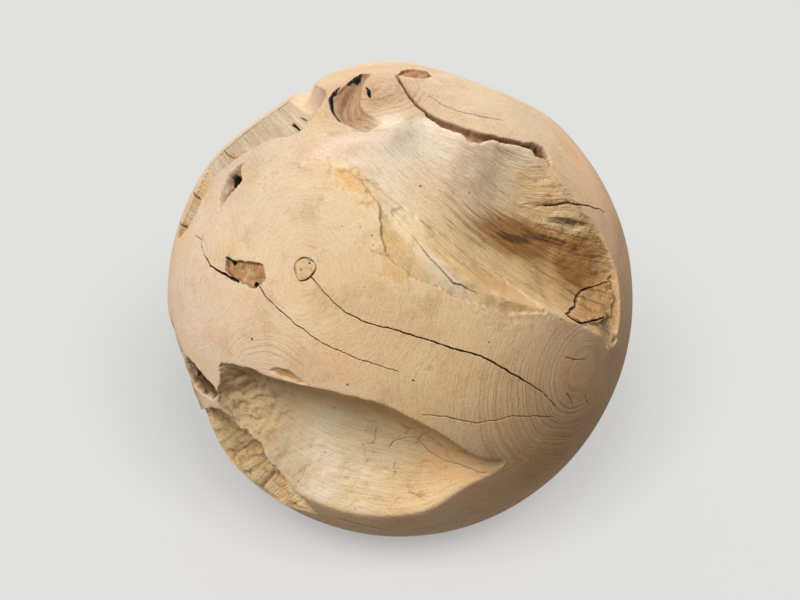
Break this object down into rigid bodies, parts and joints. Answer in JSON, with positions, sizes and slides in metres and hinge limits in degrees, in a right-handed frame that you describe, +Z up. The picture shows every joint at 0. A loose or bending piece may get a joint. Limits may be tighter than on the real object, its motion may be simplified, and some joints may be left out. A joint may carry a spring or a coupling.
{
  "type": "root-wood ball",
  "caption": "Solid decorative ball turned from one block of root wood, with the root's natural hollows, splits, knots and drying cracks left open.",
  "frame": {"origin": "the point where the ball touches the floor, under its middle", "axes": "+Z up through the ball's middle, -Y towards the viewer's side, +X to the viewer's right"},
  "size_m": [0.464, 0.4619, 0.4786],
  "materials": {
    "wood": "sanded, unvarnished, with rough natural hollows"
  },
  "bodies": {
    "root": {"ball": "wood"}
  },
  "joints": []
}
